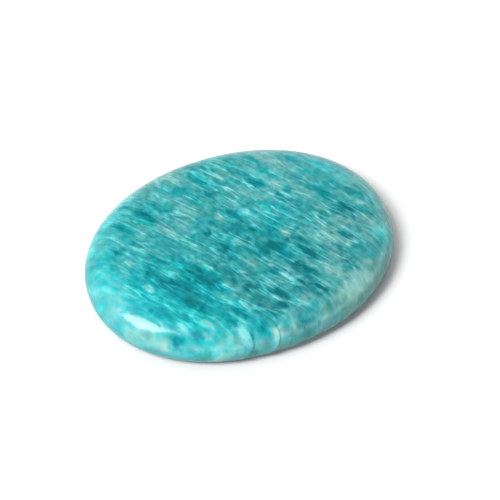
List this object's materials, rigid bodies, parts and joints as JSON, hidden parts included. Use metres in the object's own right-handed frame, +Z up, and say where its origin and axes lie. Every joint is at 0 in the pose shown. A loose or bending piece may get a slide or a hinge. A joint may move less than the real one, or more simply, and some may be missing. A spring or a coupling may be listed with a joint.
{
  "type": "palm stone",
  "caption": "Flat oval palm stone of polished amazonite with a rounded edge and a flat underside, which lies in the palm of a hand.",
  "frame": {"origin": "middle of the flat underside of the stone, which is the bottom centre of its box", "axes": "+X along the stone's length, +Y across it, +Z up through its thickness"},
  "size_m": [0.065, 0.049, 0.008],
  "materials": {
    "amazonite": "polished, glossy blue-green feldspar with fine pale parallel streaks and darker teal patches"
  },
  "bodies": {
    "root": {"stone": "amazonite"}
  },
  "joints": []
}
